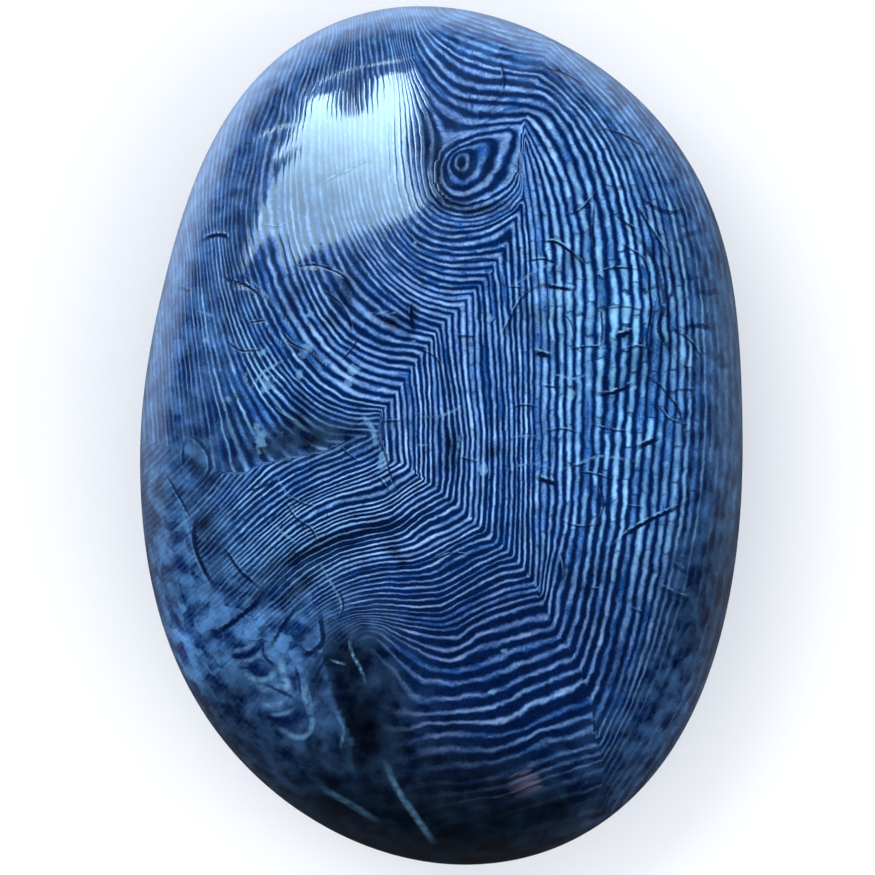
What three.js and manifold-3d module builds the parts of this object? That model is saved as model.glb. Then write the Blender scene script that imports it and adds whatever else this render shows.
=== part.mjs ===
// A polished agate palm stone: one solid pebble, lying on its broad underside.
// Millimetres, +Z up and +Y along the stone. The origin is on the surface that it rests on,
// below the middle of the stone.
import * as THREE from "three";
import { mergeVertices } from "three/addons/utils/BufferGeometryUtils.js";
import Module from "manifold-3d";

// The edge seen from above: its distance from the stone's axis, at equal steps
// anticlockwise from +X.
const EDGE_RADII = [
  24.6, 26.1, 29.7, 32.8, 34.9, 33.6, 28.6, 25.1, 24.5, 26.0, 29.2, 32.6, 35.0, 34.2, 29.9, 26.0,
];

// How far the rounded top rises above the widest part, and the underside drops below it.
const TOP_RISE = 17.2;
const UNDERSIDE_DROP = 15.4;

// The power of the side's curve: 2 is an ellipse, and more makes the side fuller.
const SIDE_POWER = 2.15;

// How far the highest point lies off the axis, because a tumbled pebble is never even.
const CREST_SHIFT = new THREE.Vector2(-1.6, 2.2);

// The underside is worn flat by this depth, which leaves the small spot that it rests on.
const FLAT_DEPTH = 0.4;

// Facets along each side of the cube that is rounded into the stone.
const FACETS = 25;

const STONE_BLUE = 0x1d4a86;

// The edge's distance from the axis at an angle: a smooth wave through the measured radii.
function edgeRadius(angle) {
  const count = EDGE_RADII.length;
  return EDGE_RADII.reduce((sum, radius, index) => {
    const away = angle - (index * 2 * Math.PI) / count;
    if (Math.abs(Math.sin(away / 2)) < 1e-9) return sum + radius;
    return sum + (radius * Math.sin((count * away) / 2)) / (count * Math.tan(away / 2));
  }, 0);
}

// The point of the stone's skin in a direction from its middle.
function skinPoint(direction) {
  const reach = Math.hypot(direction.x, direction.y);
  const radius = reach < 1e-9 ? 0 : reach * edgeRadius(Math.atan2(direction.y, direction.x));
  const rise = Math.sign(direction.z) * Math.abs(direction.z) ** (2 / SIDE_POWER);
  return new THREE.Vector3(
    (radius * direction.x) / (reach || 1) + CREST_SHIFT.x * rise,
    (radius * direction.y) / (reach || 1) + CREST_SHIFT.y * rise,
    rise * (rise > 0 ? TOP_RISE : UNDERSIDE_DROP),
  );
}

// A cube of even facets, blown up into the stone: the tangent keeps the facets alike in size.
function pebbleGeometry() {
  const geometry = new THREE.BoxGeometry(2, 2, 2, FACETS, FACETS, FACETS);
  geometry.deleteAttribute("normal");
  geometry.deleteAttribute("uv");
  const positions = geometry.attributes.position;
  const corner = new THREE.Vector3();
  for (let i = 0; i < positions.count; i++) {
    corner.fromBufferAttribute(positions, i);
    corner.set(...corner.toArray().map((side) => Math.tan((side * Math.PI) / 4)));
    positions.setXYZ(i, ...skinPoint(corner.normalize()).toArray());
  }
  return mergeVertices(geometry, 1e-4);
}

const wasm = await Module();
wasm.setup();

function solidFrom(geometry) {
  const merged = mergeVertices(geometry, 1e-4);
  const vertProperties = new Float32Array(merged.attributes.position.array);
  const triVerts = new Uint32Array(merged.index.array);
  return new wasm.Manifold(new wasm.Mesh({ numProp: 3, vertProperties, triVerts }));
}

function geometryFrom(solid) {
  const mesh = solid.getMesh();
  return new THREE.BufferGeometry()
    .setAttribute("position", new THREE.BufferAttribute(mesh.vertProperties, 3))
    .setIndex(new THREE.BufferAttribute(mesh.triVerts, 1));
}

// The block that is ground away, whose top face makes the flat spot.
function wornBlock() {
  const side = 4 * Math.max(...EDGE_RADII);
  const block = new THREE.BoxGeometry(side, side, UNDERSIDE_DROP);
  block.deleteAttribute("normal");
  block.deleteAttribute("uv");
  return block.translate(0, 0, FLAT_DEPTH - 1.5 * UNDERSIDE_DROP);
}

function restingStone() {
  const worn = solidFrom(pebbleGeometry()).subtract(solidFrom(wornBlock()));
  const geometry = geometryFrom(worn);
  geometry.computeBoundingBox();
  const { min, max } = geometry.boundingBox;
  geometry.translate(-(min.x + max.x) / 2, -(min.y + max.y) / 2, -min.z);
  geometry.computeVertexNormals();
  return geometry;
}

const polish = new THREE.MeshStandardMaterial({ color: STONE_BLUE, roughness: 0.12, metalness: 0 });

const agate = new THREE.Mesh(restingStone(), polish);
agate.name = "agate";

const stone = new THREE.Group();
stone.add(agate);
export default stone;
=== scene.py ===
# %% [markdown]
# # A polished thumbprint agate
#
# The object is one pebble of banded agate, ground and polished until it is smooth all over. It
# lies on its broad side, and the camera looks straight down on it.
#
# The imported CAD part is loaded first. It gives the frame that everything is placed in: metres, +Z
# up, +Y along the stone, and the floor at zero. Its box is kept, to be shown at the end beside the
# finished stone's box.

import bpy
import numpy as np
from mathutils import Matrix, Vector


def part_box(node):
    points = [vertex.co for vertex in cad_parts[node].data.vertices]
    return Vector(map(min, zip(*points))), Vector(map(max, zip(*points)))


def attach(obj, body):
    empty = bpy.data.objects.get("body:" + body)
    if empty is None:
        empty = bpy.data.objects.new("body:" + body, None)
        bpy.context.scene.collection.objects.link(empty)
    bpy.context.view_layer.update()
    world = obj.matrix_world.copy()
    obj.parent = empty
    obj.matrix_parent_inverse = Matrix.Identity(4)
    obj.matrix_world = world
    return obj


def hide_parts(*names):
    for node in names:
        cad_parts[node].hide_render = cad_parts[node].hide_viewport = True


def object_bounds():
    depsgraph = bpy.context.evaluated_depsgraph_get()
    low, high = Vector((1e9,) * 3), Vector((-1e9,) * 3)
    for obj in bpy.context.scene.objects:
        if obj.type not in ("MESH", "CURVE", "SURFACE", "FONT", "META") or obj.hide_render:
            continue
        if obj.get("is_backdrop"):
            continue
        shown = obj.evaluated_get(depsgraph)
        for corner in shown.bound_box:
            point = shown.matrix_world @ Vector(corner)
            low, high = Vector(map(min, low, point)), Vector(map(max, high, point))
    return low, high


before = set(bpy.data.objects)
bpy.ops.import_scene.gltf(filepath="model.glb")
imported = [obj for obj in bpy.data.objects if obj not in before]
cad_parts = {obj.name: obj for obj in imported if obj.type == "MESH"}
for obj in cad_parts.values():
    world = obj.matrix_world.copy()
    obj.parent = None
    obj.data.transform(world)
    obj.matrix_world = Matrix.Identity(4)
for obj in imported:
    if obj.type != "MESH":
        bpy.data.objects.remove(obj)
cad_box = [list(corner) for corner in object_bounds()]
print("the part's box, in metres:", cad_box)

# %% [markdown]
# ## The camera, and a ruler for the photograph
#
# Every line of the banding was placed by looking at the photograph, so the script needs to know
# which pixel a point of the stone lands on. That is only a matter of scale: the farther a point is
# below the lens, the smaller it is drawn. The stone is shown from straight above, so one formula
# is enough, and the camera is built from the same numbers.

# %% The camera
MM = 0.001
PHOTO_SIDE = 875
PIXELS_PER_MM = 12.214  # at the height of the stone's edge
EDGE_HEIGHT = 15.0
LENS_ABOVE_EDGE = 420.0
LENS_AT = (-0.41, -0.04, EDGE_HEIGHT + LENS_ABOVE_EDGE)
SENSOR_WIDTH = 36.0


def photo_pixels(points):
    """Where the camera sees points given in millimetres: their distance from the lens's axis,
    times the scale at the stone's edge, times the lens's height above the edge over its height
    above the point."""
    scale = PIXELS_PER_MM * LENS_ABOVE_EDGE / (LENS_AT[2] - points[:, 2])
    right = (points[:, 0] - LENS_AT[0]) * scale
    up = (points[:, 1] - LENS_AT[1]) * scale
    return np.column_stack([PHOTO_SIDE / 2 + right, PHOTO_SIDE / 2 - up])


def placed(name, data):
    """A new object for some data, put into the scene."""
    thing = bpy.data.objects.new(name, data)
    bpy.context.collection.objects.link(thing)
    return thing


lens = bpy.data.cameras.new("camera_above")
lens.sensor_width = SENSOR_WIDTH
lens.lens = SENSOR_WIDTH * PIXELS_PER_MM * LENS_ABOVE_EDGE / PHOTO_SIDE
lens.clip_start = 0.01
camera = placed("camera_above", lens)
camera.location = [side * MM for side in LENS_AT]
bpy.context.scene.camera = camera
print("focal length, in millimetres:", round(lens.lens, 1))

# %% [markdown]
# ## The stone's skin
#
# A tumbled pebble is close to an ellipsoid, but never even: its edge seen from above is an egg,
# its side is a little fuller than an ellipse, and its highest point is off the middle. One formula
# holds all of that. It takes a direction from the stone's middle, given by the turn around the
# vertical and the tilt down from it, and gives the point of the skin in that direction.
#
# A sculpted mesh would look the same, but the formula can be asked for as many points as the
# banding needs, and it is the one that the CAD part was made from.

# %% The formula of the skin
EDGE_RADII = np.array([
    24.6, 26.1, 29.7, 32.8, 34.9, 33.6, 28.6, 25.1, 24.5, 26.0, 29.2, 32.6, 35.0, 34.2, 29.9, 26.0,
])
TOP_RISE = 17.2
UNDERSIDE_DROP = 15.4
SIDE_POWER = 2.15
CREST_SHIFT = (-1.6, 2.2)
FLAT_DEPTH = 0.4


def edge_radius(turn):
    """The edge's distance from the stone's axis. Each measured radius is weighed by
    sin(n a / 2) / (n tan(a / 2)), with a the turn from it and n the number of radii, which is 1 at
    its own turn and 0 at all the others."""
    count = len(EDGE_RADII)
    half = (turn[:, None] - np.arange(count) * 2 * np.pi / count) / 2
    near = np.abs(np.sin(half)) < 1e-9
    half = np.where(near, 1.0, half)
    weight = np.where(near, 1.0, np.sin(count * half) / (count * np.tan(half)))
    return weight @ EDGE_RADII


def skin(turn, tilt):
    """The skin's point for a turn around the vertical and a tilt from it, in millimetres. The sine
    of the tilt scales the edge's radius. The cosine, raised to 2 / SIDE_POWER, gives the rise,
    which also carries the point sideways towards the crest. The underside stops at its flat."""
    flatness = np.abs(np.cos(tilt)) ** (2 / SIDE_POWER)
    rise = np.sign(np.cos(tilt)) * flatness
    radius = np.sin(tilt) * edge_radius(turn)
    height = np.where(rise > 0, TOP_RISE, UNDERSIDE_DROP) * rise
    return np.column_stack([
        radius * np.cos(turn) + CREST_SHIFT[0] * rise,
        radius * np.sin(turn) + CREST_SHIFT[1] * rise,
        np.maximum(height, FLAT_DEPTH - UNDERSIDE_DROP),
    ])


# %% [markdown]
# ## The stone's mesh
#
# The banding has lines 0.2 mm wide and sharp corners, and it is carried by numbers at the mesh's
# points, so the top needs points about 0.2 mm apart and the hidden underside needs few. A globe's
# usual rings and spokes crowd at the pole and are sparse at the edge. Instead a square grid is
# pressed into a disk, which becomes the top, and rings carry its border down to the flat spot.

# %% The grid of the top
CELLS_ACROSS, CELLS_ALONG = 232, 320
UNDERSIDE_RINGS = 18
PLAN_SHARE = 0.75  # how far the disk is the plain view from above, the rest being the tilt itself


def top_directions():
    """Turns and tilts of a grid pressed into a disk: each side of the square is scaled by the root
    of one less half the other's square. The disk's radius is a mix of the tilt's sine and the tilt
    itself, so that the steep edge gets its share of points."""
    u, v = np.meshgrid(np.linspace(-1, 1, CELLS_ACROSS + 1), np.linspace(-1, 1, CELLS_ALONG + 1))
    disk = np.column_stack([
        (u * np.sqrt(1 - v**2 / 2)).ravel(), (v * np.sqrt(1 - u**2 / 2)).ravel(),
    ])
    tilts = np.linspace(0, np.pi / 2, 2000)
    radii = PLAN_SHARE * np.sin(tilts) + (1 - PLAN_SHARE) * tilts * 2 / np.pi
    tilt = np.interp(np.hypot(*disk.T), radii, tilts)
    return disk, np.arctan2(disk[:, 1], disk[:, 0]), tilt


top_disk, top_turn, top_tilt = top_directions()
top_index = np.arange(len(top_disk)).reshape(CELLS_ALONG + 1, CELLS_ACROSS + 1)
border = np.concatenate([
    top_index[0, :-1], top_index[:-1, -1], top_index[-1, :0:-1], top_index[:0:-1, 0],
])
print("points on the top:", len(top_disk), "and around its border:", len(border))

# %% The rings of the underside
flat_cosine = (1 - FLAT_DEPTH / UNDERSIDE_DROP) ** (SIDE_POWER / 2)
ring_tilts = np.linspace(np.pi / 2, np.arccos(-flat_cosine), UNDERSIDE_RINGS + 1)[1:]
ring_turn = np.tile(top_turn[border], UNDERSIDE_RINGS)
ring_tilt = np.repeat(ring_tilts, len(border))

turn = np.concatenate([top_turn, ring_turn, [0.0]])
tilt = np.concatenate([top_tilt, ring_tilt, [np.pi]])
points = skin(turn, tilt)
middle = (points.max(0) + points.min(0)) / 2
points -= [middle[0], middle[1], points[:, 2].min()]
print("the skin's size, in millimetres:", np.ptp(points, axis=0).round(2))

# %% The faces
ring_index = len(top_disk) + np.arange(len(ring_turn)).reshape(UNDERSIDE_RINGS, -1)
levels = np.vstack([border, ring_index])
upper, lower = levels[:-1], levels[1:]
top_faces = np.column_stack([
    top_index[:-1, :-1].ravel(), top_index[:-1, 1:].ravel(),
    top_index[1:, 1:].ravel(), top_index[1:, :-1].ravel(),
])
side_faces = np.column_stack([
    lower.ravel(), np.roll(lower, -1, 1).ravel(), np.roll(upper, -1, 1).ravel(), upper.ravel(),
])
pole = np.full(len(border), len(points) - 1)
pole_faces = np.column_stack([pole, np.roll(levels[-1], -1), levels[-1]])

corners = np.concatenate([top_faces.ravel(), side_faces.ravel(), pole_faces.ravel()])
sides = np.repeat([4, 3], [len(top_faces) + len(side_faces), len(pole_faces)])
print("triangles:", 2 * (len(top_faces) + len(side_faces)) + len(pole_faces))

# %% The mesh
mesh = bpy.data.meshes.new("agate_stone")
mesh.vertices.add(len(points))
mesh.vertices.foreach_set("co", (points * MM).ravel())
mesh.loops.add(len(corners))
mesh.loops.foreach_set("vertex_index", corners)
mesh.polygons.add(len(sides))
mesh.polygons.foreach_set("loop_start", np.concatenate([[0], np.cumsum(sides)[:-1]]))
mesh.polygons.foreach_set("use_smooth", np.ones(len(sides), bool))
mesh.update(calc_edges=True)
mesh.validate()
stone = placed("agate_stone", mesh)
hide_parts("agate")
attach(stone, "root")

normals = np.empty(len(points) * 3, np.float32)
mesh.vertex_normals.foreach_get("vector", normals)
normals = normals.reshape(-1, 3)
part_sides = [round(side / MM, 2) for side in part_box("agate")[1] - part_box("agate")[0]]
print("the part's own size, in millimetres:", part_sides)

# %% [markdown]
# ## A flat map of the skin
#
# When the finish is baked into a picture, the picture needs a flat map of the skin. Blender can
# cut one up by itself, but its cuts would run through the banding. This stone has a natural one:
# the disk of the top, drawn large, and the underside as a small disk in the corner beside it.

# %% The map
TOP_MAP = dict(middle=(0.34, 0.5), reach=(0.325, 0.485))
UNDERSIDE_MAP = dict(middle=(0.835, 0.24), reach=(0.155, 0.225))


def laid_out(disk, middle, reach):
    """The disk's points, scaled to their place in the map."""
    return np.asarray(middle) + disk * reach


def underside_disk():
    """The underside's points on a disk: the tilt past level is the distance from its border."""
    inward = 2 - tilt / (np.pi / 2)
    return np.column_stack([np.cos(turn), np.sin(turn)]) * inward[:, None]


not_on_top = np.zeros((len(points) - len(top_disk), 2))
top_map = laid_out(np.concatenate([top_disk, not_on_top]), **TOP_MAP)
underside_map = laid_out(underside_disk(), **UNDERSIDE_MAP)
on_top = np.arange(len(corners)) < top_faces.size
spread = np.where(on_top[:, None], top_map[corners], underside_map[corners])
mesh.uv_layers.new(name="OFBake").data.foreach_set("uv", spread.ravel())
print("the map reaches from", spread.min(0).round(3), "to", spread.max(0).round(3))

# %% [markdown]
# ## Where each band runs
#
# Agate grows in layers, one upon the other, like the contour lines of a hill. So the bands aren't
# drawn one by one. A few of them, here called guide bands, were traced over the photograph and
# numbered by counting the bands between them. A smooth surface is then laid through these
# numbers, and every band in between is a contour of it.
#
# The bands turn sharp corners along creases, where the growing crystal faces met. A smooth
# surface can't be sharp, so the stone is split along its creases into four fields, each with a
# surface of its own. A band has the same number on both sides of a crease, which joins it there.

# %% The creases, in pixels of the photograph
FAN_CREASE = [
    (556, 20), (553, 40), (548, 50), (544, 60), (540, 72), (534, 92), (526, 110), (523, 125),
]
BOW_CREASE = [
    (523, 145), (522, 165), (521, 195), (519, 212), (512, 229), (505, 245), (500, 255), (492, 270),
    (485, 279), (470, 297), (456, 311), (445, 321), (438, 329), (431, 340), (420, 357), (409, 375),
    (402, 383), (396, 392), (391, 399), (386, 406), (381, 413),
]
FOOT_CREASE = [
    (379, 435), (388, 462), (408, 467), (432, 484), (447, 497), (470, 517), (491, 537), (508, 550),
    (519, 563), (534, 583), (544, 603), (550, 617), (560, 637), (574, 658), (584, 681), (590, 701),
    (594, 728), (600, 750), (606, 800), (610, 900),
]
VALLEY = [
    (352, 438), (322, 452), (290, 458), (262, 464), (243, 474), (215, 472), (190, 452), (100, 430),
]
EYE_RIM = [
    (523, 126), (520, 150), (514, 172), (502, 189), (486, 199), (463, 205), (446, 199), (437, 187),
    (435, 168), (439, 152), (451, 141), (466, 135), (485, 130), (505, 127),
]

# %% The guide bands right of the creases, counted outwards from the core
UPRIGHT_BANDS = {
    0: [(386, 406), (386, 430), (386.5, 445), (388, 462)],
    3: [(402, 383), (404.5, 410), (406, 440), (408, 467)],
    6: [(416, 363), (419, 385), (421, 410), (421, 440), (421, 476)],
    9: [(431, 340), (433, 365), (435, 400), (436, 440), (437, 488)],
    11: [(438, 329), (440, 345), (444, 375), (448, 405), (451.5, 440), (450, 470), (447, 497)],
    15: [(463, 304), (464, 345), (466, 380), (470, 410), (473, 440), (472, 470), (470, 517)],
    19: [(485, 279), (488, 310), (490, 345), (493, 380), (495, 420), (495.5, 470), (494.5, 500),
        (491, 537)],
    22: [(500, 255), (504, 290), (508, 345), (511, 400), (512, 440), (512, 480), (511, 520),
        (508.5, 551)],
    25: [(519, 212), (521, 245), (523, 280), (525, 345), (526, 440), (525.5, 500), (525, 550),
        (524, 571)],
    28: [(523, 140), (533, 190), (539, 240), (543, 300), (545, 345), (545, 440), (544, 500),
        (543, 550), (539, 593)],
    30: [(523, 127), (531, 142), (541, 165), (549, 190), (554, 215), (558, 240), (560, 290),
        (561, 350), (561, 440), (560, 500), (557, 530), (552, 560), (547, 590), (544, 603)],
    33: [(526, 110), (538, 113), (548, 122), (560, 143), (568, 160), (576, 185), (583, 215),
        (587, 240), (590, 300), (589, 350), (587.5, 440), (585, 500), (580, 550), (574, 580),
        (566, 620), (560, 637)],
    35: [(534, 92), (545, 95), (556, 103), (570, 120), (582, 140), (592, 160), (600, 190),
        (606, 215), (611, 245), (615, 300), (613, 350), (608, 440), (603, 520), (594, 580),
        (583, 635), (574, 658)],
    38: [(541.5, 68), (560, 82), (580, 103), (596, 122), (610, 145), (622, 170), (632, 205),
        (640, 240), (647, 300), (646, 350), (639, 440), (633, 520), (622, 585), (611, 640),
        (598, 685), (590, 701)],
    41: [(548, 50), (565, 66), (585, 88), (605, 110), (620, 130), (634, 150), (645, 175),
        (655, 205), (663, 240), (672, 300), (675, 350), (669, 440), (662, 520), (653, 580),
        (641, 640), (622, 700), (600, 745)],
    44: [(554, 38), (570, 54), (590, 72), (612, 94), (632, 117), (650, 143), (665, 173), (678, 208),
        (688, 250), (695, 300), (698, 350), (697, 440), (690, 520), (676, 590), (655, 660),
        (630, 720), (603, 770)],
    47: [(640, 108), (662, 135), (682, 170), (697, 210), (707, 250), (714, 300), (719, 350),
        (720, 440), (712, 520), (698, 600), (674, 680), (640, 745), (606, 795)],
}

# %% The guide bands of the fan and the bows, each from the crease outwards
BOW_BANDS = {
    43: [(552, 42), (530, 38), (510, 33), (490, 27), (470, 20), (455, 14)],
    41: [(548, 50), (525, 47), (505, 42), (485, 35), (465, 28), (450, 22), (438, 16)],
    39: [(544, 60), (520, 57), (500, 52), (480, 45), (462, 39), (448, 33), (436, 26), (428, 18)],
    37.5: [(540, 72), (515, 69), (495, 64), (478, 60), (462, 54), (448, 46), (437, 38), (427, 28)],
    36: [(538, 80), (515, 78), (495, 76), (480, 74), (465, 68), (452, 61), (442, 52), (432, 42),
        (423, 30)],
    35: [(534, 92), (515, 89), (495, 87), (480, 87), (467, 83), (455, 78), (445, 70), (435, 60),
        (426, 48), (418, 34)],
    34: [(530, 101), (510, 99), (490, 99), (475, 98), (465, 96), (455, 91), (445, 84), (435, 74),
        (425, 60), (416, 44)],
    33: [(526, 110), (510, 109), (490, 109), (475, 108), (462, 105), (450, 99), (440, 91),
        (430, 80), (421, 66), (413, 50)],
    32: [(523, 119), (505, 120), (490, 121), (475, 122), (462, 119), (450, 113), (440, 105),
        (430, 94), (420, 78), (411, 58)],
    31: [(523, 126), (505, 127), (485, 130), (466, 135), (451, 141), (440, 130), (434, 115),
        (425, 98), (415, 78), (408, 55)],
    30: [(523, 145), (520, 172), (510, 189), (497, 198), (480, 206), (463, 209), (445, 204),
        (434, 190), (431, 170), (432, 150), (432, 132), (427, 115), (418, 95), (410, 72),
        (404, 50)],
    29: [(522, 165), (518, 186), (505, 201), (490, 210), (472, 215), (455, 214), (440, 209),
        (429, 197), (424, 178), (423, 155), (422, 130), (416, 105), (409, 80), (402, 52)],
    27: [(521, 195), (510, 209), (495, 218), (478, 223), (460, 225), (442, 221), (430, 214),
        (421, 202), (415, 182), (412, 155), (410, 130), (407, 100), (402, 70), (395, 42)],
    25: [(519, 212), (505, 222), (490, 230), (475, 235), (455, 237), (440, 235), (428, 230),
        (417, 221), (409, 207), (403, 185), (400, 155), (399, 125), (398, 95), (394, 60),
        (389, 35)],
    23: [(505, 245), (490, 249), (475, 252), (455, 252), (440, 250), (428, 247), (415, 240),
        (404, 228), (396, 213), (391, 193), (388, 165), (387, 130), (386, 95), (383, 60),
        (380, 32)],
    21: [(497, 262), (480, 265), (455, 266), (440, 264), (425, 259), (412, 251), (402, 241),
        (392, 227), (384, 210), (379, 190), (376, 165), (375, 130), (374, 95), (372, 60)],
    19: [(485, 279), (470, 279), (455, 279), (440, 277), (425, 271), (410, 262), (400, 253),
        (388, 240), (379, 225), (372, 205), (367, 180), (365, 150), (364, 115), (362, 70),
        (360, 35)],
    17: [(475, 291), (455, 292), (440, 291), (425, 286), (411, 277), (398, 266), (385, 252),
        (374, 236), (366, 219), (360, 197), (356, 170), (354, 130), (353, 90)],
    15: [(463, 304), (450, 305), (440, 303), (425, 298), (412, 291), (400, 283), (388, 272),
        (376, 258), (365, 243), (356, 224), (350, 200), (346, 170), (344, 130), (345, 90),
        (349, 50)],
    13: [(451, 316), (440, 315), (425, 311), (412, 304), (400, 296), (386, 284), (374, 271),
        (362, 256), (352, 238), (344, 216), (339, 190), (335, 150), (335, 105)],
    11: [(438, 329), (425, 325), (412, 320), (398, 311), (384, 301), (370, 289), (357, 274),
        (346, 257), (338, 240), (331, 215), (327, 185), (325, 150), (326, 105), (333, 65),
        (340, 35)],
    9: [(431, 340), (412, 336), (395, 331), (378, 322), (363, 311), (350, 297), (339, 280),
        (330, 262), (322, 240), (316, 215), (312, 180), (311, 145), (314, 105)],
    7: [(422, 354), (410, 351), (392, 349), (372, 343), (355, 334), (341, 321), (330, 305),
        (320, 287), (312, 268), (304, 245), (299, 220), (296, 185), (297, 145), (303, 105)],
    4: [(409, 375), (390, 374), (370, 368), (352, 358), (335, 345), (322, 330), (311, 313),
        (302, 295), (294, 275), (286, 250), (280, 222), (278, 190), (281, 155), (290, 118)],
    2: [(396, 392), (375, 389), (355, 382), (338, 371), (322, 356), (307, 339), (294, 320),
        (284, 301), (275, 280), (267, 255), (261, 228), (259, 200), (263, 165), (272, 130)],
    0: [(386, 406), (365, 404), (345, 399), (328, 389), (312, 375), (297, 358), (284, 338),
        (273, 318), (263, 295), (255, 270), (249, 245), (246, 215), (249, 185), (256, 155)],
    -2: [(381, 413), (362, 414), (345, 411), (325, 403), (308, 391), (292, 375), (278, 356),
        (266, 336), (256, 314), (247, 288), (240, 262), (236, 235), (236, 205), (241, 175)],
    -4: [(372, 424), (350, 424), (330, 418), (310, 406), (292, 390), (275, 370), (262, 350),
        (250, 325), (241, 300), (234, 275), (229, 250), (227, 225), (229, 200)],
    -6: [(355, 436), (330, 433), (310, 423), (290, 407), (272, 387), (258, 365), (246, 340),
        (236, 315), (229, 290), (224, 260), (221, 232)],
    -9: [(305, 453), (285, 440), (268, 420), (255, 398), (243, 375), (233, 350), (224, 320),
        (217, 290), (213, 262), (211, 235)],
    -12: [(258, 463), (246, 440), (235, 415), (226, 390), (219, 365), (213, 340), (208, 310),
        (204, 280), (202, 250)],
    -16: [(215, 470), (211, 440), (206, 410), (201, 380), (197, 350), (193, 320), (191, 290),
        (191, 262)],
    -20: [(190, 452), (186, 420), (183, 390), (180, 360), (178, 330), (177, 300)],
    -24: [(172, 445), (169, 420), (167, 390), (165, 355), (164, 330)],
}

# %% The guide bands below, each from the crease to the lower left
SLANTING_BANDS = {
    -9: [(262, 466), (250, 480), (238, 492), (226, 505), (212, 520), (200, 532)],
    -6: [(352, 440), (335, 450), (315, 458), (295, 467), (275, 479), (258, 492), (242, 506),
        (228, 520), (212, 537), (198, 552)],
    -3: [(381, 448), (365, 457), (345, 465), (320, 474), (295, 487), (275, 501), (255, 518),
        (235, 537), (215, 556), (200, 570)],
    0: [(388, 462), (378, 468), (365, 474), (345, 481), (325, 489), (305, 499), (285, 512),
        (265, 529), (245, 548), (225, 567), (208, 583)],
    3: [(408, 467), (395, 474), (384, 481), (370, 488), (355, 491), (340, 495), (322, 502),
        (303, 512), (285, 526), (265, 545), (245, 563), (225, 582)],
    5: [(419, 477), (405, 486), (390, 496), (377, 502), (360, 505), (340, 510), (320, 518),
        (300, 529), (284, 541), (268, 555), (254, 569), (238, 585)],
    8: [(432, 484), (415, 493), (400, 504), (390, 511), (376, 515), (355, 518), (335, 524),
        (315, 534), (296, 546), (281, 560), (266, 575), (252, 590)],
    11: [(447, 497), (430, 505), (414, 515), (404, 524), (396, 529), (382, 533), (365, 536),
        (345, 541), (325, 548), (308, 557), (291, 569), (276, 582), (265, 595)],
    13: [(456, 507), (441, 515), (426, 522), (413, 531), (405, 538), (396, 540), (380, 543),
        (360, 547), (343, 552), (326, 560), (310, 570), (294, 582), (281, 595)],
    16: [(477, 523), (464, 529), (450, 537), (436, 544), (425, 550), (414, 554), (402, 556),
        (388, 557), (373, 559), (355, 563), (340, 569), (325, 577), (310, 587), (296, 599)],
    19: [(491, 537), (478, 541), (462, 547), (447, 556), (432, 566), (418, 570), (400, 571),
        (385, 572), (368, 575), (350, 580), (335, 587), (320, 596), (306, 607)],
    21: [(503, 547), (488, 554), (470, 562), (455, 571), (441, 578), (428, 581), (405, 582),
        (385, 582), (365, 585), (348, 590), (333, 597), (320, 605)],
    24: [(519, 563), (500, 567), (480, 576), (465, 585), (453, 593), (440, 598), (420, 600),
        (400, 600), (380, 598), (360, 601), (343, 606), (326, 614)],
    27: [(534, 583), (515, 587), (500, 592), (485, 598), (470, 605), (457, 612), (448, 618),
        (435, 619), (415, 617), (395, 615), (375, 613), (355, 614), (338, 620)],
    30: [(544, 603), (520, 608), (505, 614), (490, 619), (475, 625), (458, 637), (440, 638),
        (420, 634), (398, 628), (380, 622), (362, 620)],
    31: [(550, 617), (530, 620), (510, 626), (490, 631), (475, 638), (462, 647), (445, 650),
        (425, 646), (410, 640), (392, 632)],
    32: [(556, 627), (540, 631), (520, 636), (500, 641), (485, 646), (472, 653), (458, 659),
        (440, 660), (427, 656), (414, 648), (400, 640), (385, 631)],
    33: [(560, 637), (540, 643), (520, 650), (505, 656), (490, 662), (475, 667), (460, 670),
        (442, 671), (427, 667), (413, 658), (400, 648), (386, 638)],
    34: [(566, 646), (550, 652), (530, 660), (512, 667), (497, 673), (480, 678), (460, 682),
        (442, 684), (427, 681), (412, 672), (398, 660)],
    35: [(574, 658), (555, 665), (540, 672), (520, 680), (500, 690), (488, 695), (460, 698),
        (430, 700), (418, 701), (408, 690), (398, 676)],
    36: [(580, 670), (560, 678), (540, 685), (525, 691), (510, 700), (495, 707), (470, 711),
        (440, 713), (415, 715), (395, 712)],
    37: [(584, 681), (565, 690), (545, 698), (530, 705), (515, 715), (500, 721), (480, 723),
        (455, 722), (430, 723)],
    38: [(590, 701), (570, 709), (550, 716), (535, 723), (520, 730), (505, 734), (485, 736),
        (462, 734), (440, 735)],
    39: [(592, 715), (570, 722), (553, 727), (540, 731), (525, 739), (508, 746), (490, 751),
        (470, 750), (450, 750)],
    40: [(594, 728), (575, 736), (558, 740), (540, 745), (520, 753), (500, 761), (480, 765),
        (455, 766)],
    41: [(600, 745), (580, 750), (560, 754), (543, 760), (525, 768), (505, 775), (485, 780),
        (460, 783)],
    43: [(602, 760), (580, 767), (560, 773), (540, 781), (520, 789), (500, 796), (470, 800)],
    45: [(606, 782), (585, 790), (560, 798), (535, 806), (510, 813)],
}

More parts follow.
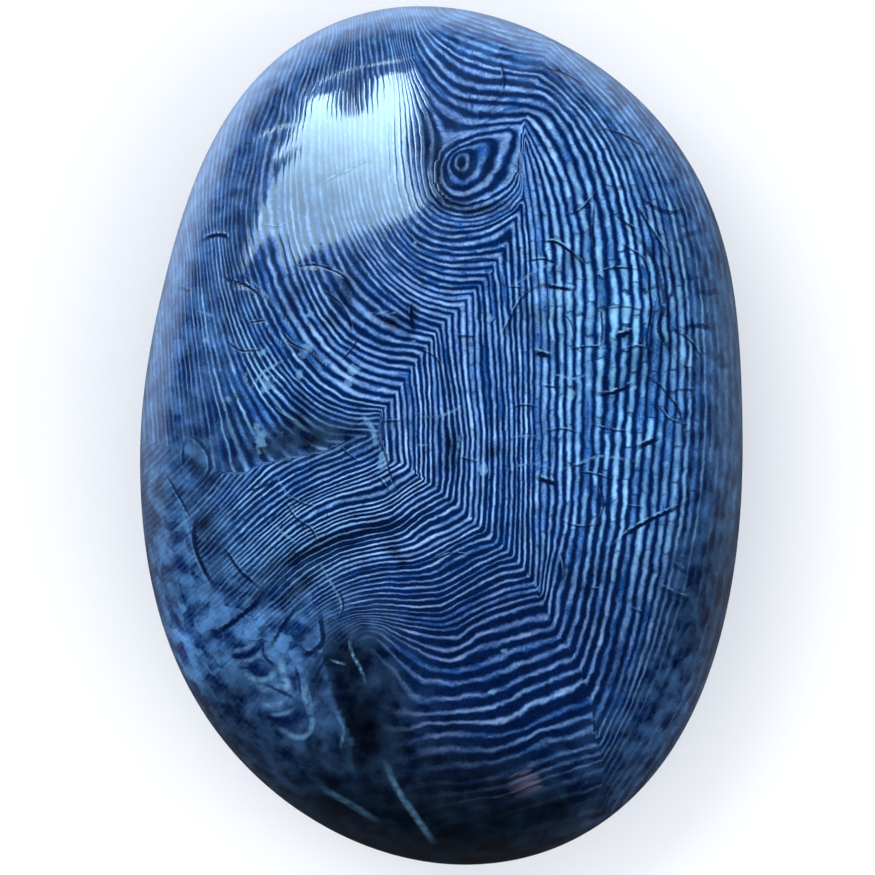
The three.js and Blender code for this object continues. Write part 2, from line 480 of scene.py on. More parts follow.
# %% The guide bands of the eye, which are closed rings
EYE_BANDS = {
    31: [(523, 126), (520, 150), (514, 172), (502, 189), (486, 199), (463, 205), (446, 199),
        (437, 187), (435, 168), (439, 152), (451, 141), (466, 135), (485, 130), (505, 127),
        (523, 126)],
    32: [(508, 134), (503, 150), (497, 167), (486, 183), (472, 192), (459, 195), (448, 191),
        (442, 181), (441, 168), (446, 155), (458, 146), (472, 140), (490, 136), (508, 134)],
    33: [(482, 145), (481, 160), (475, 175), (465, 183), (454, 180), (448, 170), (449, 160),
        (456, 152), (468, 147), (482, 145)],
    33.8: [(468, 153), (469, 162), (465, 171), (458, 172), (453, 166), (455, 157), (461, 153),
        (468, 153)],
    34.4: [(461, 162), (462, 164)],
}
guides = (UPRIGHT_BANDS, BOW_BANDS, SLANTING_BANDS, EYE_BANDS)
print("guide bands:", sum(len(bands) for bands in guides))

# %% [markdown]
# ## From guide bands to a number at every point
#
# The surface laid through the guide bands is a thin-plate spline, which is how a springy sheet
# bends when it is pinned down at given heights. A little give at the pins evens out the small
# errors of the tracing. The result is one number for each point of the mesh: its whole part says
# which band the point is nearest to, and the rest says how far across that band it lies.

# %% A sheet through pins
PIN_STEP = 9.0  # pixels between pins along a guide band
PIN_GIVE = 2e-4
SHEET_UNIT = 100.0  # pixels, so that the sheet's own numbers stay near 1
AT_ONCE = 8000  # places, so that the table of distances fits in memory


def spaced(line, step):
    """Points at equal steps along a drawn line."""
    line = np.asarray(line, float)
    reach = np.concatenate([[0], np.cumsum(np.linalg.norm(np.diff(line, axis=0), axis=1))])
    stops = np.linspace(0, reach[-1], max(2, int(round(reach[-1] / step)) + 1))
    return np.column_stack([np.interp(stops, reach, line[:, axis]) for axis in (0, 1)])


def bending(places, pins):
    """How far each pin bends the sheet at each place: distance squared times its logarithm."""
    apart = ((places[:, None] - pins[None]) ** 2).sum(2)
    return apart * np.log(apart + 1e-12)


def sheet(bands, places):
    """The height at some pixels of a springy sheet, pinned along each band at its number: the sum
    of the pins' bendings and a plane, with weights that make it right at the pins."""
    lines = {number: spaced(line, PIN_STEP) / SHEET_UNIT for number, line in bands.items()}
    pins = np.concatenate(list(lines.values()))
    heights = np.repeat(list(lines), [len(line) for line in lines.values()])
    plane = np.column_stack([np.ones(len(pins)), pins])
    system = np.block([
        [bending(pins, pins) + PIN_GIVE * np.eye(len(pins)), plane],
        [plane.T, np.zeros((3, 3))],
    ])
    weights = np.linalg.solve(system, np.concatenate([heights, np.zeros(3)]))
    found = []
    for part in np.array_split(places / SHEET_UNIT, max(1, len(places) // AT_ONCE)):
        plain = np.column_stack([np.ones(len(part)), part])
        found.append(np.column_stack([bending(part, pins), plain]) @ weights)
    return np.concatenate(found)


# %% Which field a point is in
def within(places, outline):
    """Whether each place is inside an outline: a line going right from it crosses the outline an
    odd number of times."""
    across, down = places.T
    odd = np.zeros(len(places), bool)
    ring = np.asarray(outline, float)
    for start, end in zip(ring, np.roll(ring, -1, axis=0)):
        if start[1] != end[1]:
            beside = start[0] + (end[0] - start[0]) * (down - start[1]) / (end[1] - start[1])
            odd ^= ((start[1] > down) != (end[1] > down)) & (across < beside)
    return odd


FAR = 1400
crease = FAN_CREASE + BOW_CREASE + FOOT_CREASE
right_field = crease + [(FAR, 900), (FAR, -100), (556, -100)]
low_field = FOOT_CREASE[::-1] + VALLEY + [(-FAR, 430), (-FAR, FAR), (610, FAR)]

# %% [markdown]
# The underside isn't in the photograph. Agate's layers run on through the stone, so there the
# bands are those of the edge above, drawn sideways more and more with depth. That way they meet
# at the edge without a seam, and the back is still no copy of the front.

# %% The number of the band at every point
BACK_DRIFT = (95.0, -70.0)  # pixels, at the floor

depth = np.clip((EDGE_HEIGHT - points[:, 2]) / EDGE_HEIGHT, 0, 1)
raised = np.column_stack([points[:, :2], np.maximum(points[:, 2], EDGE_HEIGHT)])
place = photo_pixels(raised) + depth[:, None] ** 2 * BACK_DRIFT

right = within(place, right_field)
low = within(place, low_field) & ~right
eye = within(place, EYE_RIM) & ~right & ~low
bows = ~(right | low | eye)
band = np.empty(len(points))
for name, field, bands in (
    ("upright", right, UPRIGHT_BANDS), ("slanting", low, SLANTING_BANDS),
    ("eye", eye, EYE_BANDS), ("bows", bows, BOW_BANDS),
):
    band[field] = sheet(bands, place[field])
    lowest, highest = band[field].min().round(), band[field].max().round()
    print(name, "field:", field.sum(), "points, bands", lowest, "to", highest)

# %% [markdown]
# ## Where the bands are broad, pale or blurred
#
# The bands aren't alike everywhere. On the right they are broad, and broken into short lengths
# like bamboo. Lower left they are hair lines. Near the foot painted shade makes the stone nearly
# black, and under the window and along the right edge a painted veil of reflection dims the bands.
# These changes are gentle, so each is a number at the mesh's points too, made from soft round
# patches that are laid one over the other.

# %% Soft patches
def patches(start, spots, share=1.0):
    """A level that begins at start and is drawn towards each patch's own level in turn. A patch is
    (across, down, half width, half height, lean in degrees, level), in pixels, and its pull falls
    off as a bell curve of the distance over its half size, times the share."""
    level = np.full(len(place), float(start))
    for across, down, half_width, half_height, lean, goal in spots:
        away = place - (across, down)
        cosine, sine = np.cos(np.radians(lean)), np.sin(np.radians(lean))
        x = (away[:, 0] * cosine + away[:, 1] * sine) / half_width
        y = (away[:, 1] * cosine - away[:, 0] * sine) / half_height
        level += (goal - level) * np.exp(-(x**2 + y**2)) * share
    return level


# %% The levels of the bands
# The share of a band's pitch that is light.
light_share = patches(0.62, [
    (620, 380, 150, 330, 0, 0.76), (300, 540, 170, 110, -25, 0.50), (440, 600, 150, 110, -25, 0.42),
    (520, 735, 130, 80, -20, 0.40), (430, 380, 40, 60, 0, 0.60), (230, 380, 60, 160, 0, 0.55),
    (462, 163, 34, 30, 0, 0.45), (555, 297, 22, 14, 0, 1.1), (622, 312, 26, 16, 0, 1.1),
    (330, 552, 60, 9, -24, 0.15), (390, 525, 40, 7, -12, 0.15), (275, 585, 24, 7, -42, 0.1),
    (300, 588, 22, 6, -38, 0.15),
])
# How pale the light lines are.
paleness = patches(0.42, [
    (620, 340, 100, 260, 0, 0.74), (340, 525, 120, 60, -25, 1.0), (500, 440, 60, 120, 0, 0.55),
    (480, 640, 120, 60, 0, 0.38), (540, 735, 110, 60, -20, 0.48), (350, 410, 60, 25, 0, 0.6),
    (555, 297, 20, 12, 0, 1.0), (622, 312, 24, 14, 0, 0.95), (560, 247, 18, 7, 0, 0.9),
    (650, 540, 26, 30, 30, 0.9), (575, 400, 10, 14, 0, 1.0), (275, 375, 24, 26, 20, 0.8),
    (400, 460, 14, 30, 0, 0.9), (325, 335, 14, 14, 0, 0.8), (345, 375, 12, 12, 0, 1.0),
])
# How much the bands are broken into lengths.
broken = patches(0.35, [
    (620, 360, 120, 260, 0, 1.0), (250, 400, 90, 120, 0, 0.8), (500, 430, 60, 120, 0, 0.6),
    (430, 640, 150, 60, 0, 0.1), (280, 540, 90, 60, -30, 0.7), (480, 40, 80, 30, 0, 0.7),
    (245, 600, 80, 100, 0, 0.9), (400, 770, 150, 110, 0, 0.0), (550, 730, 90, 60, -20, 0.55),
])
# The underside shares nothing of the front but the bands.
front = np.clip(1 - 4 * depth, 0, 1)
# How clearly the bands are seen: not in the clouded places, less so around the edge, and less under
# the window and along the right edge, where a veil of reflection is painted over them.
clear = patches(1.0, [
    (176, 560, 44, 120, 0, 0.10), (262, 664, 66, 66, 0, 0.02), (215, 625, 52, 56, 0, 0.05),
    (296, 650, 34, 44, 10, 0.0),
    (345, 712, 42, 66, 0, 0.04), (330, 800, 140, 70, 20, 0.02), (480, 835, 160, 45, 0, 0.02),
    (190, 430, 32, 80, 0, 0.30), (205, 330, 35, 70, 0, 0.60), (300, 440, 62, 14, -8, 0.08),
    (662, 700, 30, 70, 30, 0.2), (690, 600, 18, 60, 0, 0.25), (338, 165, 86, 82, 0, 0.26),
    (232, 200, 26, 60, 20, 0.5), (214, 505, 20, 44, 0, 0.6), (198, 458, 12, 24, 0, 0.05),
    (285, 730, 70, 50, 30, 0.03), (215, 680, 40, 50, 30, 0.1), (330, 770, 70, 40, 0, 0.03),
    (734, 290, 30, 170, 0, 0.34), (732, 470, 24, 130, 0, 0.34), (712, 570, 18, 80, 12, 0.3),
], front)
EDGE_BELT = np.radians((52, 70, 84, 98))
clear *= 1 - 0.55 * np.interp(tilt, EDGE_BELT, (0, 1, 1, 0))
# Where the clouds turn a plain grey-blue, which is a painted veil of reflection: at the foot, under
# the window and along the right edge.
plain = patches(0.0, [
    (400, 830, 260, 60, 0, 0.4), (340, 165, 75, 75, 0, 0.8), (738, 330, 32, 220, 0, 0.8),
], front)
# How light the stone is as a whole: its own darker and lighter spots, and painted shade, which
# makes the foot nearly black and the right edge and lower right darker. It is also lighter near
# the top edge.
tone_and_painted_shade = patches(1.0, [
    (440, 900, 360, 190, 0, 0.01), (350, 805, 150, 75, 0, 0.04), (480, 830, 150, 62, 0, 0.015),
    (206, 552, 22, 60, -10, 0.60), (602, 640, 24, 40, 20, 0.45), (258, 612, 24, 16, -30, 1.25),
    (186, 655, 14, 40, -25, 1.5), (384, 690, 26, 36, 0, 0.40),
    (240, 740, 70, 44, 40, 0.16), (374, 748, 46, 44, 0, 0.15),
    (640, 765, 70, 46, -35, 0.20), (155, 530, 34, 120, 0, 0.70), (480, 45, 70, 26, 0, 1.5),
    (560, 330, 200, 260, 0, 1.06), (680, 650, 60, 120, 20, 0.50), (560, 600, 120, 60, 0, 0.76),
    (470, 640, 110, 60, 0, 0.62), (715, 400, 34, 240, 0, 0.74), (705, 600, 50, 120, 15, 0.24),
    (190, 430, 40, 60, 0, 0.75), (306, 438, 58, 16, -8, 0.02), (300, 420, 16, 20, 30, 0.35),
    (340, 530, 130, 60, -25, 0.84), (392, 322, 12, 9, 0, 0.22), (345, 290, 9, 22, 0, 0.3),
    (451, 447, 9, 24, 0, 0.35), (492, 452, 5, 9, 0, 0.3), (396, 552, 5, 6, 0, 0.2),
    (402, 563, 5, 5, 0, 0.2), (234, 193, 7, 4, 0, 0.3), (412, 318, 4, 18, 0, 0.2),
    (590, 635, 8, 18, 0, 0.35), (616, 662, 7, 20, 0, 0.35), (625, 335, 10, 6, 0, 0.3),
    (543, 355, 11, 5, 0, 0.2), (540, 318, 24, 22, 0, 0.62), (640, 362, 20, 26, 0, 0.62),
    (578, 262, 22, 12, 25, 0.6), (610, 382, 16, 14, 0, 0.6), (650, 470, 16, 22, 0, 0.7),
    (598, 578, 20, 26, 0, 0.6), (650, 560, 40, 8, -30, 0.6),
    (462, 166, 8, 14, 0, 0.3), (437, 168, 7, 34, -8, 0.12), (452, 203, 22, 7, 15, 0.16),
    (480, 211, 20, 6, -10, 0.3), (488, 172, 5, 18, 15, 0.5), (428, 150, 8, 40, 0, 0.5),
    (300, 556, 60, 7, -26, 0.28), (355, 532, 50, 5, -14, 0.4), (262, 452, 30, 6, -10, 0.4),
    (198, 460, 11, 24, 0, 0.42), (204, 524, 9, 14, 10, 0.04), (255, 600, 22, 7, -45, 0.3),
    (212, 480, 12, 6, 20, 0.4), (680, 250, 20, 30, 0, 0.6), (668, 330, 12, 40, 0, 0.65),
    (352, 88, 12, 24, -5, 0.45), (240, 240, 12, 40, 10, 0.6), (225, 300, 14, 30, 0, 0.7),
    (290, 300, 10, 16, 30, 0.5), (330, 320, 12, 8, 30, 0.5), (232, 420, 8, 20, 0, 0.5),
    (300, 395, 10, 8, 30, 0.5), (298, 589, 24, 7, -38, 0.2), (230, 704, 28, 34, 35, 0.28),
    (318, 683, 12, 34, -10, 0.35), (262, 697, 14, 4, 0, 0.5), (286, 722, 14, 5, 0, 0.5),
    (262, 667, 14, 4, 10, 0.55), (250, 656, 12, 3, 0, 0.6), (276, 710, 12, 3, 0, 0.6),
    (602, 640, 20, 34, 20, 0.6), (300, 590, 20, 5, -38, 0.4), (216, 562, 8, 26, -20, 0.5),
    (466, 788, 44, 22, 0, 0.10), (540, 812, 60, 18, -14, 0.05),
], front)
# Right of a step in the lower left it turns dark at once.
STEP = [(319, 596), (321, 640), (326, 672), (337, 706), (352, 738), (356, 790)]
step_across, step_down = np.array(STEP, float).T
beyond = place[:, 0] > np.interp(place[:, 1], step_down, step_across)
pocket = patches(0.0, [(348, 660, 40, 40, 35, 1.0), (356, 720, 46, 54, 0, 1.0)], front * beyond)
tone_and_painted_shade *= 1 - 0.90 * pocket
clear *= 1 - 0.85 * pocket
# Where the stone is milky.
haze = patches(0.0, [
    (352, 370, 9, 7, 0, 0.8), (347, 385, 5, 6, 0, 0.9), (268, 385, 10, 16, 20, 0.6),
    (305, 350, 8, 12, 20, 0.6), (228, 398, 4, 6, 0, 0.6), (281, 432, 3, 5, 0, 0.5),
    (299, 375, 5, 5, 0, 0.8), (310, 315, 6, 4, 0, 0.8), (205, 340, 6, 5, 0, 0.7),
    (490, 318, 3, 5, 0, 1.0), (415, 242, 4, 3, 0, 0.9), (505, 651, 4, 4, 0, 0.8),
    (383, 460, 7, 12, 0, 0.8), (483, 470, 5, 10, 0, 0.8), (571, 396, 5, 8, 30, 0.8),
    (492, 692, 6, 3, 0, 0.8), (634, 388, 3, 3, 0, 1.0), (412, 341, 3, 3, 0, 1.0),
    (261, 440, 7, 16, 0, 0.75),
    (256, 425, 5, 10, 0, 0.5), (262, 352, 7, 5, 0, 0.6), (245, 378, 5, 8, 0, 0.6),
])
print("the tone goes from", tone_and_painted_shade.min().round(3), "to", tone_and_painted_shade.max().round(3))

# %% How far along its band each point is
BOW_HEART, EYE_HEART = (470, 130), (462, 163)


def swept(heart, reach):
    """The angle around a heart, from its left downwards, times a reach that makes it pixels."""
    away = place - heart
    return np.arctan2(away[:, 1], -away[:, 0]) * reach


along = np.where(right, place[:, 1], place[:, 0])
along = np.where(bows, swept(BOW_HEART, 230.0), along)
along = np.where(eye, swept(EYE_HEART, 28.0), along)
print("the longest way along a band, in pixels:", np.ptp(along).round())

# %% [markdown]
# ## Cracks and wisps
#
# Fine cracks cross the bands, most of them short and bowed. Each one has a painted highlight on its
# far lip, where the window's light would catch it. They were drawn over the photograph as lines of
# a few points. What the mesh carries is how far every point is from the nearest of them, because
# such a distance can be read between the mesh's points without becoming ragged, which a painted
# line can't.

# %% The cracks: half width in pixels, depth, how bright the painted highlight on the lip is, and the line
CRACKS = [
    (1.5, 1.0, 0.9, [(535, 242), (556, 241), (575, 255), (584, 266)]),
    (1.9, 1.0, 0.6, [(540, 285), (565, 289), (578, 290)]),
    (1.2, 0.8, 0.5, [(562, 216), (580, 212), (597, 192)]),
    (1.3, 0.8, 0.4, [(595, 195), (593, 230), (596, 260)]),
    (1.2, 0.9, 0.7, [(600, 272), (617, 267), (640, 270)]),
    (1.2, 0.8, 0.6, [(613, 213), (632, 228), (640, 230)]),
    (1.2, 0.8, 0.5, [(620, 243), (645, 258), (648, 275)]),
    (2.4, 1.0, 1.0, [(616, 337), (625, 334), (634, 331)]),
    (1.2, 0.8, 0.6, [(568, 350), (590, 346), (615, 350)]),
    (2.2, 0.8, 0.1, [(637, 195), (652, 207), (670, 214), (688, 209)]),
    (2.6, 0.8, 0.0, [(680, 332), (688, 326), (700, 325), (716, 331)]),
    (3.0, 0.7, 0.0, [(695, 290), (708, 294), (720, 290)]),
    (3.0, 0.6, 0.0, [(680, 240), (690, 232), (700, 234)]),
    (3.4, 0.7, 0.0, [(700, 262), (708, 270), (704, 280)]),
    (3.0, 0.5, 0.0, [(716, 366), (732, 366)]),
    (2.4, 1.0, 0.8, [(533, 352), (543, 355), (552, 357)]),
    (1.2, 0.8, 0.5, [(540, 386), (562, 388)]),
    (2.0, 1.0, 0.9, [(592, 392), (605, 396), (622, 390), (637, 382)]),
    (1.2, 0.8, 0.6, [(592, 425), (615, 431), (632, 432)]),
    (2.4, 1.0, 0.4, [(634, 450), (655, 440), (662, 437)]),
    (2.4, 1.0, 0.6, [(535, 477), (548, 482), (560, 485)]),
    (1.2, 0.8, 0.6, [(575, 472), (595, 474), (612, 480)]),
    (1.2, 0.7, 0.4, [(625, 506), (645, 508)]),
    (2.0, 1.0, 0.9, [(613, 548), (628, 533), (648, 521), (675, 509), (690, 500)]),
    (1.3, 0.7, 0.3, [(673, 390), (698, 390)]),
    (1.3, 0.7, 0.3, [(678, 366), (694, 368)]),
    (1.2, 0.7, 0.4, [(583, 589), (600, 589)]),
    (2.2, 0.6, 0.3, [(655, 585), (680, 597), (692, 600)]),
    (2.2, 0.6, 0.3, [(670, 563), (690, 575)]),
    (1.4, 0.7, 0.4, [(628, 608), (645, 614)]),
    (1.4, 0.8, 0.7, [(545, 283), (530, 290), (520, 300), (510, 320), (500, 340)]),
    (1.1, 0.7, 0.5, [(507, 287), (525, 288)]),
    (1.6, 1.0, 0.3, [(412, 300), (411, 318), (414, 335)]),
    (1.3, 0.8, 0.3, [(455, 336), (478, 337)]),
    (1.3, 0.8, 0.4, [(380, 422), (402, 421)]),
    (1.2, 0.7, 0.4, [(458, 457), (480, 463)]),
    (1.1, 0.8, 0.5, [(340, 447), (350, 456), (358, 462)]),
    (1.2, 0.8, 0.5, [(378, 476), (384, 486), (390, 492)]),
    (2.0, 1.0, 0.8, [(200, 243), (208, 236), (228, 234), (229, 245)]),
    (1.8, 1.0, 0.9, [(222, 270), (225, 280), (247, 285), (263, 299)]),
    (1.2, 0.8, 0.5, [(248, 323), (268, 320)]),
    (1.4, 0.8, 0.6, [(298, 267), (315, 264), (340, 273), (350, 282)]),
    (1.6, 0.8, 0.3, [(178, 287), (192, 292)]),
    (2.0, 1.0, 0.2, [(199, 512), (193, 532), (196, 552), (208, 578), (220, 592)]),
    (2.8, 1.0, 0.1, [(205, 640), (225, 628), (240, 617), (257, 603), (268, 586)]),
    (2.0, 0.9, 0.2, [(267, 653), (279, 632), (290, 615), (307, 598)]),
    (2.4, 0.9, 0.1, [(319, 604), (321, 622), (324, 644), (308, 655), (292, 657)]),
    (1.8, 0.8, 0.1, [(261, 640), (265, 660), (278, 667)]),
    (1.8, 0.8, 0.0, [(264, 683), (276, 690), (287, 694), (298, 702)]),
    (2.0, 0.8, 0.0, [(262, 715), (280, 721), (298, 723)]),
    (1.6, 0.8, 0.0, [(230, 656), (243, 657), (260, 649)]),
    (1.5, 0.8, 0.0, [(236, 667), (250, 669), (262, 664)]),
    (1.6, 0.8, 0.0, [(294, 662), (299, 680), (301, 700)]),
    (1.2, 0.8, 0.6, [(290, 498), (302, 504), (315, 507)]),
    (1.2, 0.8, 0.6, [(565, 460), (575, 468), (590, 462)]),
    (1.1, 0.7, 0.5, [(600, 310), (625, 306), (648, 312)]),
    (1.1, 0.7, 0.5, [(560, 310), (572, 322), (575, 340)]),
    (1.1, 0.7, 0.6, [(620, 350), (640, 345), (660, 356)]),
    (1.1, 0.7, 0.5, [(655, 400), (668, 420), (690, 426)]),
    (1.1, 0.7, 0.5, [(560, 520), (580, 528), (600, 524)]),
    (1.1, 0.7, 0.5, [(268, 400), (280, 415), (300, 424)]),
    (1.3, 0.8, 0.6, [(225, 340), (240, 352), (262, 350)]),
    (1.2, 0.9, 0.7, [(523, 262), (545, 258), (560, 266)]),
    (1.2, 0.9, 0.6, [(600, 300), (603, 330), (600, 352)]),
    (2.0, 0.85, 0.1, [(620, 225), (640, 240), (655, 260), (662, 285), (665, 308), (657, 328),
        (667, 346), (685, 372)]),
    (1.8, 0.8, 0.1, [(667, 257), (672, 275), (674, 292), (664, 306)]),
    (1.3, 0.9, 0.5, [(648, 276), (652, 310), (646, 340), (652, 372)]),
    (1.3, 0.9, 0.5, [(630, 195), (655, 235), (672, 262)]),
    (1.4, 0.8, 0.4, [(668, 325), (690, 340), (704, 362)]),
    (1.3, 0.8, 0.4, [(640, 372), (660, 385), (680, 410), (684, 440)]),
    (1.1, 0.8, 0.6, [(545, 432), (562, 428), (580, 434)]),
    (1.1, 0.8, 0.6, [(508, 410), (522, 404), (540, 408)]),
    (1.1, 0.8, 0.6, [(600, 485), (605, 505), (600, 520)]),
    (1.4, 0.8, 0.4, [(560, 545), (566, 570), (560, 590)]),
    (1.6, 0.9, 0.4, [(262, 590), (240, 572), (222, 545)]),
    (1.8, 0.8, 0.2, [(187, 432), (200, 442), (210, 456), (210, 472), (202, 486)]),
    (1.4, 0.7, 0.3, [(186, 436), (182, 455), (184, 468)]),
    (1.3, 0.8, 0.5, [(164, 470), (178, 495), (192, 520)]),
    (1.3, 0.8, 0.4, [(240, 492), (262, 488), (280, 478)]),
    (1.2, 0.8, 0.6, [(284, 500), (296, 520), (312, 528), (318, 545)]),
    (1.2, 0.8, 0.5, [(338, 590), (345, 604), (340, 618)]),
    (1.2, 0.8, 0.5, [(378, 440), (386, 455), (390, 475), (398, 490)]),
    (1.1, 0.8, 0.5, [(340, 362), (352, 350), (360, 335)]),
    (1.2, 0.8, 0.5, [(320, 290), (338, 300), (350, 318), (352, 340)]),
    (1.2, 0.8, 0.5, [(280, 330), (292, 345), (312, 352)]),
    (1.2, 0.8, 0.5, [(430, 235), (450, 240), (475, 236)]),
    (1.2, 0.8, 0.5, [(455, 262), (480, 258), (505, 262)]),
    (1.2, 0.8, 0.4, [(420, 350), (436, 356), (442, 372)]),
    (1.1, 0.8, 0.5, [(436, 560), (452, 552), (470, 556)]),
    (1.3, 0.8, 0.5, [(500, 60), (506, 80), (502, 96)]),
    (1.3, 0.8, 0.5, [(545, 68), (566, 74), (590, 90)]),
    (1.2, 0.8, 0.4, [(600, 128), (625, 135), (648, 150)]),
    (1.4, 0.4, 0.9, [(320, 187), (333, 178), (348, 173), (358, 165), (377, 161)]),
    (1.2, 0.3, 0.8, [(262, 225), (278, 229), (292, 221)]),
]

# %% The wisps: half width in pixels, brightness, and the line
WISPS = [
    (2.6, 0.9, [(362, 415), (370, 425), (376, 435), (374, 447)]),
    (1.4, 0.7, [(363, 315), (382, 312), (400, 313), (405, 318)]),
    (1.3, 0.5, [(412, 412), (425, 417), (440, 417), (465, 405)]),
    (1.3, 0.6, [(412, 445), (437, 447)]),
    (1.2, 0.6, [(461, 430), (456, 460)]),
    (1.3, 0.6, [(510, 437), (538, 436)]),
    (1.5, 0.5, [(195, 310), (217, 317)]),
    (1.6, 0.6, [(350, 632), (350, 648), (353, 657), (361, 668), (366, 685)]),
    (3.2, 0.30, [(384, 758), (394, 784), (404, 800), (414, 814), (436, 846)]),
    (3.2, 0.15, [(316, 785), (345, 801), (380, 822)]),
    (2.6, 0.36, [(230, 651), (246, 650), (257, 641)]),
    (2.6, 0.36, [(236, 662), (252, 661), (263, 651)]),
    (3.0, 0.42, [(242, 672), (256, 681), (270, 679), (278, 666)]),
    (2.8, 0.36, [(255, 687), (270, 691), (284, 683)]),
    (2.4, 0.38, [(260, 704), (276, 706), (289, 698)]),
    (2.2, 0.34, [(268, 715), (283, 715), (295, 708)]),
    (2.8, 0.40, [(272, 724), (290, 735), (302, 740), (312, 731), (312, 716), (305, 700), (300, 684),
        (296, 668)]),
    (4.6, 0.60, [(279, 656), (284, 677), (291, 696)]),
    (2.2, 0.36, [(304, 680), (310, 700), (311, 718)]),
    (1.8, 0.30, [(334, 710), (345, 728), (340, 750)]),
    (1.8, 0.50, [(304, 647), (314, 652), (324, 650)]),
    (1.4, 0.55, [(330, 659), (338, 663), (346, 664)]),
    (1.6, 0.6, [(240, 270), (262, 290), (285, 318), (300, 345)]),
    (1.4, 0.6, [(258, 300), (268, 330), (290, 352)]),
    (1.5, 0.6, [(250, 390), (262, 372), (285, 360)]),
    (1.3, 0.6, [(300, 340), (312, 352), (335, 372)]),
    (1.5, 0.3, [(180, 500), (188, 532), (198, 564), (214, 595)]),
    (1.3, 0.7, [(276, 475), (284, 490), (292, 500)]),
    (1.3, 0.6, [(268, 520), (285, 535), (300, 545)]),
    (1.3, 0.6, [(318, 560), (335, 590), (345, 612)]),
    (1.4, 0.5, [(560, 470), (600, 455), (640, 462)]),
    (1.2, 0.5, [(505, 470), (530, 462), (560, 470)]),
    (1.3, 0.6, [(505, 290), (540, 268), (560, 262)]),
    (1.2, 0.6, [(548, 372), (575, 380), (590, 372)]),
]

# %% The distance to the nearest line
LINE_STEP = 4.0
LINE_REACH = 8.0  # pixels, beyond which a line leaves no trace
ENDS = 0.25  # the share of a line over which its end fades
RAGGEDNESS = 1.6
LIP_LEAN = 0.6  # how far up from straight left the lips lie


def rounded(line):
    """A line through points at equal steps, each moved halfway to the middle of its neighbours,
    three times over, which rounds the corners and keeps the ends."""
    line = spaced(line, LINE_STEP)
    for _ in range(3):
        line[1:-1] = line[1:-1] / 2 + (line[:-2] + line[2:]) / 4
    return line


def nearest_line(half_width, line):
    """For the points near a line: which they are, how many half widths they are from it, with plus
    on its upper left, and how strong it is there, fading to its ends and with the distance. The
    side is the sign of the cross product of the line's step and the way to the point."""
    line = rounded(line)
    low, high = line.min(0) - LINE_REACH, line.max(0) + LINE_REACH
    near = np.flatnonzero(((place > low) & (place < high)).all(1))
    start, step = line[:-1], np.diff(line, axis=0)
    away = place[near][:, None] - start
    share = np.clip((away * step).sum(2) / (step**2).sum(1), 0, 1)
    distance = np.linalg.norm(away - share[:, :, None] * step, axis=2)
    best = distance.argmin(1)
    rows = np.arange(len(near))
    side = away[rows, best, 0] * step[best, 1] - away[rows, best, 1] * step[best, 0]
    chord = line[-1] - line[0]
    if chord[0] - LIP_LEAN * chord[1] < 0:  # drawn from right to left, so its sides are swapped
        side = -side
    distance = distance[rows, best]
    reached = (best + share[rows, best]) / len(step)
    fade = np.clip(np.minimum(reached, 1 - reached) / ENDS, 0, 1)
    fade *= np.clip(2 - 2 * distance / LINE_REACH, 0, 1)
    return near, np.where(side < 0, -1, 1) * distance / half_width, fade


def traced(lines):
    """Three numbers for every point: how far it is from the nearest line, in that line's half
    widths, and the line's two strengths there. A wisp has only one strength, so its last number
    says how ragged it is, which is less the broader it is."""
    trace = np.zeros((len(points), 3))
    trace[:, 0] = LINE_REACH
    for half_width, *strengths, line in lines:
        near, side, fade = nearest_line(half_width, line)
        closer = np.abs(side) < np.abs(trace[near, 0])
        near, side, fade = near[closer], side[closer], fade[closer]
        trace[near, 0] = side
        trace[near, 1:1 + len(strengths)] = (fade * front[near])[:, None] * strengths
        if len(strengths) == 1:
            trace[near, 2] = RAGGEDNESS / half_width**2
    return trace


crack, wisp = traced(CRACKS), traced(WISPS)
wisp[:, 0] = np.abs(wisp[:, 0])  # a wisp has no lip, so its two sides are alike
print("cracks:", len(CRACKS), "and wisps:", len(WISPS))

# %% [markdown]
# The cracks are also shallow grooves in the mesh, 0.03 mm deep at most, so that they stay when the
# stone is used without its colours.

# %% The grooves
GROOVE_DEPTH = 0.03
groove = GROOVE_DEPTH * crack[:, 1] * np.exp(-crack[:, 0] ** 2 / 4)
mesh.vertices.foreach_set("co", ((points - normals * groove[:, None]) * MM).ravel())
mesh.update()
print("deepest groove, in millimetres:", groove.max().round(4))

# %% [markdown]
# Everything worked out so far is handed to the mesh as named attributes, which the material reads.
# One of them, the slab, is the place that the patterns are drawn at: flat on top, so that they
# aren't squeezed there, and with the height as its third side below the shoulder, so that they
# aren't stretched down the steep edge.

# %% What the mesh carries
SHOULDER_HEIGHT = 24.0
slab = np.column_stack([place / PIXELS_PER_MM, np.minimum(points[:, 2] - SHOULDER_HEIGHT, 0)])
levels = dict(
    band=band, along=along, light_share=light_share, paleness=paleness, broken=broken,
    clear=clear, plain=plain, tone_and_painted_shade=tone_and_painted_shade, haze=haze * front,
)
for name, level in levels.items():
    attribute = mesh.attributes.new(name, "FLOAT", "POINT")
    attribute.data.foreach_set("value", level.astype(np.float32))
for name, vectors in dict(slab=slab, crack=crack, wisp=wisp).items():
    attribute = mesh.attributes.new(name, "FLOAT_VECTOR", "POINT")
    attribute.data.foreach_set("vector", vectors.astype(np.float32).ravel())
print("attributes:", [each.name for each in mesh.attributes])

# %% [markdown]
# ## Drawing the bands
#
# The material turns the band number into colour. The nearest whole number is the band's name, and
# a random value drawn from it gives each band a width and a blue of its own. The distance to that
# whole number, compared with the width, says whether a spot is on the light line or in the gap.
#
# All this takes long chains of Math nodes. They could be made one by one, but that hides the sum
# that they stand for. So two small helpers let the sums be written as sums.

